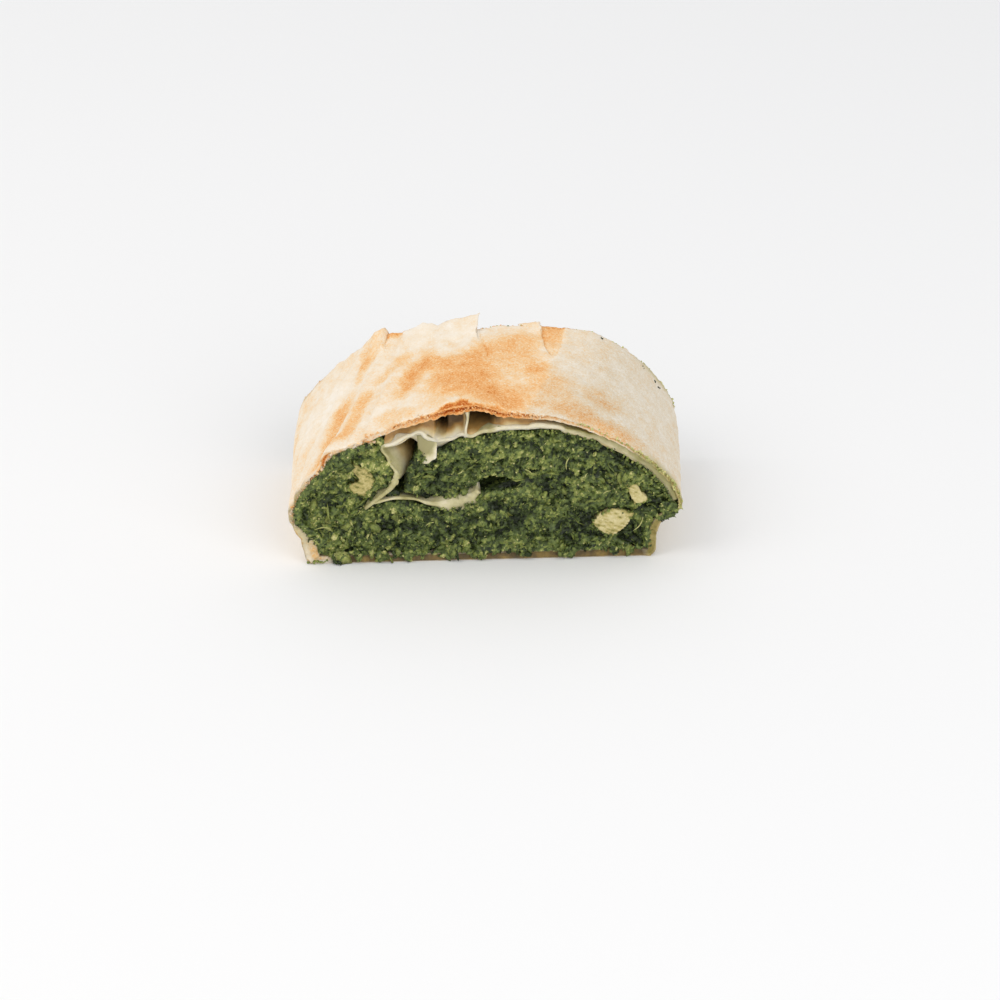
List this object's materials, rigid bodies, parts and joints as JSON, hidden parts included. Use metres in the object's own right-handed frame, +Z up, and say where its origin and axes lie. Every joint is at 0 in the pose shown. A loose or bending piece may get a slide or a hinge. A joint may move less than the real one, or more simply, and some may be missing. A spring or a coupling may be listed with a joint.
{
  "type": "slice of spinach strudel",
  "caption": "Thick slice of a baked strudel roll: thin flaky crust around a chopped spinach filling, with soft folded pastry layers and chunks of tofu showing at both cuts.",
  "frame": {"origin": "on the table, under the middle of the slice", "axes": "+X across the slice to the right as seen from the front cut, +Y from the front cut to the back cut, +Z up"},
  "size_m": [0.1106, 0.0618, 0.0502],
  "materials": {
    "crust": "baked strudel dough, pale and floury with golden brown patches, dry and flaky",
    "filling": "chopped cooked spinach, dark green, moist and crumbly",
    "soft_pastry": "steamed inner strudel dough, thin, pale and slightly translucent",
    "tofu": "pressed tofu, cream, finely porous and matt"
  },
  "bodies": {
    "root": {"crust": "crust", "filling": "filling", "pastry_layer_upper": "soft_pastry", "pastry_layer_middle": "soft_pastry", "tofu_right": "tofu", "tofu_right_upper": "tofu", "tofu_left": "tofu", "tofu_back_left": "tofu", "tofu_back_right": "tofu"}
  },
  "joints": []
}
